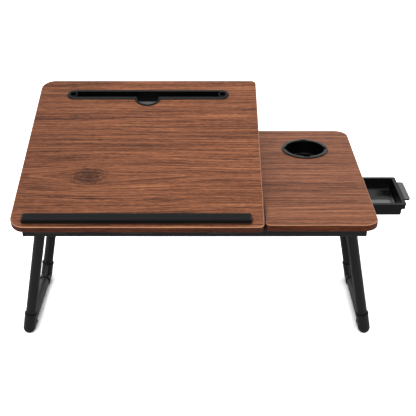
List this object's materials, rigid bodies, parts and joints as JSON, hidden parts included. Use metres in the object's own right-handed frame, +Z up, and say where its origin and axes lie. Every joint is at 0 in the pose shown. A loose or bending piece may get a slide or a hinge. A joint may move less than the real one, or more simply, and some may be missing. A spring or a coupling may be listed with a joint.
{
  "type": "folding lap desk with drawer",
  "caption": "Folding lap desk: tilting wooden panel with tablet slot, fixed shelf with cup holder, pull-out drawer and folding tube legs.",
  "frame": {"origin": "on the floor under the middle of the whole desk's box, drawer pulled out", "axes": "+X to the side the drawer pulls out of, +Y to the back of the desk, +Z up out of the cup holder"},
  "size_m": [0.7076, 0.4035, 0.393],
  "materials": {
    "walnut_board": "satin walnut grain, running across the width",
    "painted_steel": "black powder coat, satin",
    "plastic_black": "moulded black, satin",
    "plastic_gloss": "moulded black, glossy",
    "rubber_black": "matte black",
    "zinc_steel": "zinc plated"
  },
  "bodies": {
    "base": {"right_panel": "walnut_board", "cup_tub": "plastic_black", "cup_ring": "plastic_black", "front_rail": "painted_steel", "rear_rail": "painted_steel", "left_side_rail": "painted_steel", "right_side_rail": "painted_steel", "middle_rail": "painted_steel", "cross_rail": "painted_steel", "rail_end_caps": "plastic_black", "rest_pads": "rubber_black", "shelf_pads": "rubber_black", "hinge_leaves_lower": "painted_steel", "hinge_pins": "zinc_steel", "prop_guide_left": "painted_steel", "prop_guide_right": "painted_steel", "drawer_channel_front": "plastic_black", "drawer_channel_rear": "plastic_black", "left_front_bracket": "painted_steel", "left_rear_bracket": "painted_steel", "right_front_bracket": "painted_steel", "right_rear_bracket": "painted_steel", "leg_pins": "zinc_steel"},
    "drawer": {"drawer_tray": "plastic_gloss"},
    "tilt_panel": {"left_panel": "walnut_board", "stopper_bar": "rubber_black", "tablet_tray": "plastic_black", "hinge_leaves_upper": "painted_steel", "prop_clips": "plastic_black"},
    "prop": {"prop_top_rod": "painted_steel", "prop_foot_rod": "painted_steel", "prop_arm_left": "painted_steel", "prop_arm_right": "painted_steel", "prop_tips": "rubber_black"},
    "left_leg": {"left_front_tube": "painted_steel", "left_rear_tube": "painted_steel", "left_foot_bar": "painted_steel", "left_front_elbow": "plastic_black", "left_rear_elbow": "plastic_black", "left_leg_knuckles": "plastic_black"},
    "right_leg": {"right_front_tube": "painted_steel", "right_rear_tube": "painted_steel", "right_foot_bar": "painted_steel", "right_front_elbow": "plastic_black", "right_rear_elbow": "plastic_black", "right_leg_knuckles": "plastic_black"}
  },
  "joints": [
    {"name": "panel_tilt", "type": "hinge", "parent": "base", "child": "tilt_panel", "pos_m": [-0.12443, -0.19326, 0.265], "axis": [1, 0, 0], "range_deg": [-16.8, 19.2]},
    {"name": "prop_swing", "type": "hinge", "parent": "tilt_panel", "child": "prop", "pos_m": [-0.12443, -0.03496, 0.31123], "axis": [1, 0, 0], "range_deg": [-38.4, 33.6]},
    {"name": "drawer_slide", "type": "slide", "parent": "base", "child": "drawer", "axis": [1, 0, 0], "range_m": [-0.084, 0.018]},
    {"name": "left_leg_fold", "type": "hinge", "parent": "base", "child": "left_leg", "pos_m": [-0.29918, -0.01026, 0.236], "axis": [0, -1, 0], "range_deg": [0, 100.8]},
    {"name": "right_leg_fold", "type": "hinge", "parent": "base", "child": "right_leg", "pos_m": [0.23682, -0.01026, 0.236], "axis": [0, 1, 0], "range_deg": [0, 100.8]}
  ],
  "couplings": [
    {"joint": "prop_swing", "follows": "panel_tilt", "ratio": -2}
  ]
}
